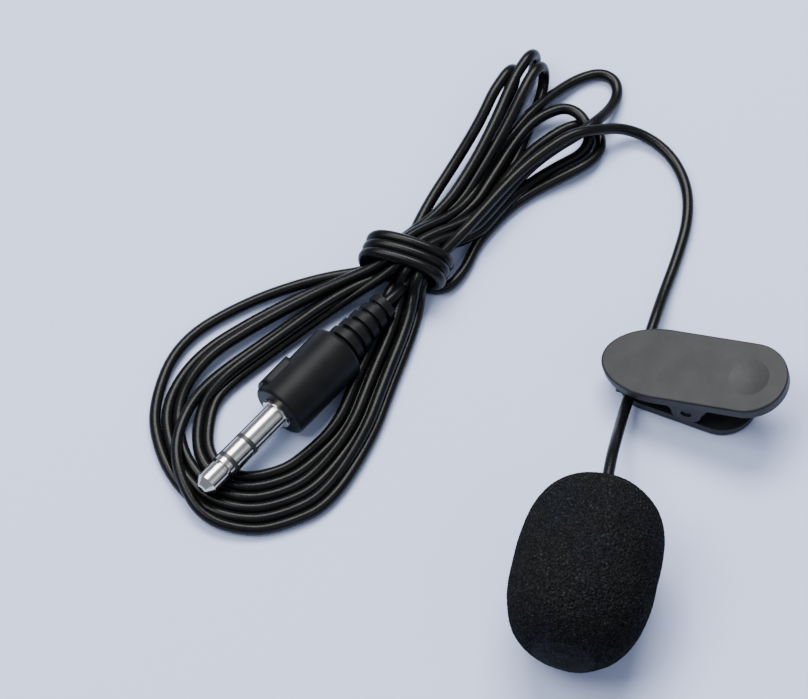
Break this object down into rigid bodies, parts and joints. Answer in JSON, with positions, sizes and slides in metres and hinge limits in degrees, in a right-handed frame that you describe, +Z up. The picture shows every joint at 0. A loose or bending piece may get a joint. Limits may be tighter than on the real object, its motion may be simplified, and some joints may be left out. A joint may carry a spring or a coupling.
{
  "type": "lavalier microphone",
  "caption": "Clip-on lavalier microphone: foam windscreen over a small capsule, sprung tie clip on the lead, hand-tied hank of thin cable and a 3.5 mm jack plug.",
  "frame": {"origin": "on the table, under the middle of the box round the microphone head and its clip, leaving out the cord and plug", "axes": "+Z up from the table; +Y from the microphone head towards the clip, near the head's axis; +X the clip's finger end"},
  "size_m": [0.084, 0.0952, 0.0188],
  "materials": {
    "foam": "open-cell foam, fine grain",
    "housing_plastic": "moulded, fine texture",
    "rubber_black": "satin",
    "grille_metal": "perforated sheet",
    "felt": "felt",
    "capsule_metal": "satin drawn",
    "capsule_plastic": "moulded",
    "film": "metallised film on a ring",
    "board": "solder mask",
    "chip": "moulded package",
    "solder": "bright solder",
    "core_insulation": "extruded",
    "clip_plastic": "moulded, matte",
    "spring_steel": "drawn wire",
    "pin_steel": "blackened steel",
    "nickel": "turned and nickel plated",
    "insulator": "moulded",
    "plug_plastic": "moulded, satin",
    "inner_plastic": "moulded",
    "cable_jacket": "satin jacket"
  },
  "bodies": {
    "root": {"mic_housing": "housing_plastic", "mic_rear_cap": "housing_plastic", "mic_grommet": "rubber_black", "mic_grille": "grille_metal", "mic_felt": "felt", "mic_cores": "core_insulation", "capsule_can": "capsule_metal", "capsule_diaphragm": "film", "capsule_spacer": "capsule_plastic", "capsule_backplate": "capsule_metal", "capsule_board": "board", "capsule_holder": "capsule_plastic", "capsule_amplifier": "chip", "capsule_gasket": "rubber_black", "capsule_solder": "solder", "plug_tip": "nickel", "plug_insulator_front": "insulator", "plug_ring": "nickel", "plug_insulator_rear": "insulator", "plug_sleeve": "nickel", "plug_overmould": "plug_plastic", "plug_inner_mould": "inner_plastic", "plug_cores": "core_insulation", "plug_solder": "solder", "cable_lead": "cable_jacket", "cable_hank": "cable_jacket", "cable_tail": "cable_jacket"},
    "windscreen": {"foam_windscreen": "foam"},
    "clip_lower": {"clip_lower_lever": "clip_plastic", "clip_pin": "pin_steel", "clip_spring": "spring_steel"},
    "clip_upper": {"clip_upper_lever": "clip_plastic"}
  },
  "joints": [
    {"name": "windscreen_pull", "type": "slide", "parent": "root", "child": "windscreen", "axis": [-0.2487, -0.9686, 0], "range_m": [0, 0.03]},
    {"name": "clip_slide", "type": "slide", "parent": "root", "child": "clip_lower", "axis": [0.3057, 0.9521, 0], "range_m": [-0.002, 0.002]},
    {"name": "jaw_hinge", "type": "hinge", "parent": "clip_lower", "child": "clip_upper", "pos_m": [0.00663, 0.01798, 0.0039], "axis": [0.3057, 0.9521, 0], "range_deg": [0, 28], "stiffness_Nm_per_rad": 0.01, "springref_deg": -28.65, "deforming": ["clip_spring"]}
  ]
}
